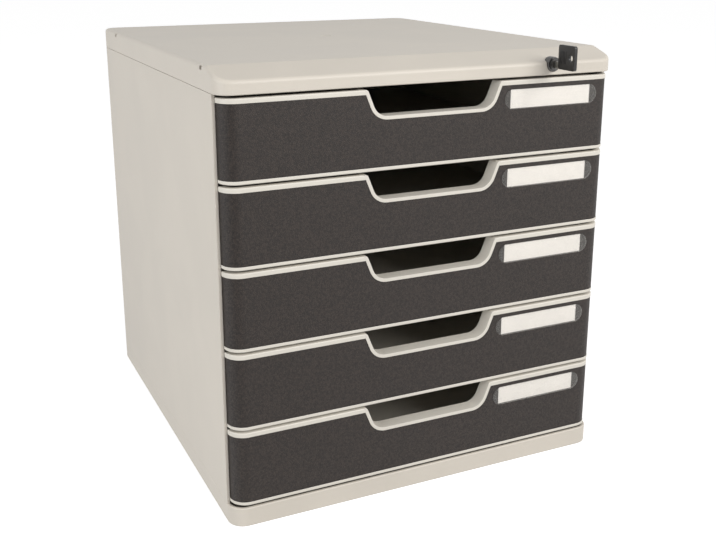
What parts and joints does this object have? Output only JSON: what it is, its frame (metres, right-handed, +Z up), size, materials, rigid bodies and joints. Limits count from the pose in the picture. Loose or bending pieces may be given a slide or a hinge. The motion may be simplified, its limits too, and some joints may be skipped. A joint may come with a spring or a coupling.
{
  "type": "desktop drawer cabinet",
  "caption": "Desktop file cabinet with pull-out drawers, finger scoops, label windows and a key lock that holds all the drawers.",
  "frame": {"origin": "on the surface that the cabinet stands on, under the middle of its case", "axes": "+X to the right as seen from the front, +Y from the drawer fronts to the back, +Z up"},
  "size_m": [0.306, 0.3707, 0.3256],
  "materials": {
    "case_plastic": "warm light grey moulded plastic with a fine, even texture",
    "drawer_plastic": "slightly lighter warm grey moulded plastic, smooth satin",
    "fascia_plastic": "near-black moulded plastic with a fine leather-like grain",
    "label_card": "plain off-white card, stood in by matte plastic",
    "label_window": "clear moulded plastic window",
    "lock_chrome": "bright plated lock face",
    "plated_steel": "zinc plated steel",
    "key_steel": "nickel plated key steel",
    "key_plastic": "black moulded key head",
    "foot_rubber": "dark soft rubber pad"
  },
  "bodies": {
    "cabinet": {"top_cover": "case_plastic", "base_tray": "case_plastic", "right_side_panel": "case_plastic", "left_side_panel": "case_plastic", "back_panel": "case_plastic", "foot_pads": "foot_rubber", "lock_barrel": "lock_chrome", "lock_nut": "plated_steel", "bar_studs": "plated_steel"},
    "drawer_1": {"drawer_1_tray": "drawer_plastic", "drawer_1_fascia": "fascia_plastic", "drawer_1_label_card": "label_card", "drawer_1_label_window": "label_window"},
    "drawer_2": {"drawer_2_tray": "drawer_plastic", "drawer_2_fascia": "fascia_plastic", "drawer_2_label_card": "label_card", "drawer_2_label_window": "label_window"},
    "drawer_3": {"drawer_3_tray": "drawer_plastic", "drawer_3_fascia": "fascia_plastic", "drawer_3_label_card": "label_card", "drawer_3_label_window": "label_window"},
    "drawer_4": {"drawer_4_tray": "drawer_plastic", "drawer_4_fascia": "fascia_plastic", "drawer_4_label_card": "label_card", "drawer_4_label_window": "label_window"},
    "drawer_5": {"drawer_5_tray": "drawer_plastic", "drawer_5_fascia": "fascia_plastic", "drawer_5_label_card": "label_card", "drawer_5_label_window": "label_window"},
    "lock_core": {"lock_plug": "lock_chrome", "lock_cam": "plated_steel", "cam_screw": "plated_steel"},
    "key": {"key_blade": "key_steel", "key_bow": "key_plastic"},
    "lock_bar": {"locking_bar": "plated_steel"}
  },
  "joints": [
    {"name": "drawer_1_slide", "type": "slide", "parent": "cabinet", "child": "drawer_1", "axis": [0, -1, 0], "range_m": [0, 0.25]},
    {"name": "drawer_2_slide", "type": "slide", "parent": "cabinet", "child": "drawer_2", "axis": [0, -1, 0], "range_m": [0, 0.25]},
    {"name": "drawer_3_slide", "type": "slide", "parent": "cabinet", "child": "drawer_3", "axis": [0, -1, 0], "range_m": [0, 0.25]},
    {"name": "drawer_4_slide", "type": "slide", "parent": "cabinet", "child": "drawer_4", "axis": [0, -1, 0], "range_m": [0, 0.25]},
    {"name": "drawer_5_slide", "type": "slide", "parent": "cabinet", "child": "drawer_5", "axis": [0, -1, 0], "range_m": [0, 0.25]},
    {"name": "lock_turn", "type": "hinge", "parent": "cabinet", "child": "lock_core", "pos_m": [0.0975, -0.1725, 0.3109], "axis": [0, 1, 0], "range_deg": [0, 90]},
    {"name": "key_withdraw", "type": "slide", "parent": "lock_core", "child": "key", "axis": [0, -1, 0], "range_m": [0, 0.021]},
    {"name": "locking_bar_drop", "type": "slide", "parent": "cabinet", "child": "lock_bar", "axis": [0, 0, -1], "range_m": [0, 0.00636]}
  ],
  "couplings": [
    {"joint": "lock_turn", "follows": "locking_bar_drop", "rad_per_m": 246.83}
  ]
}
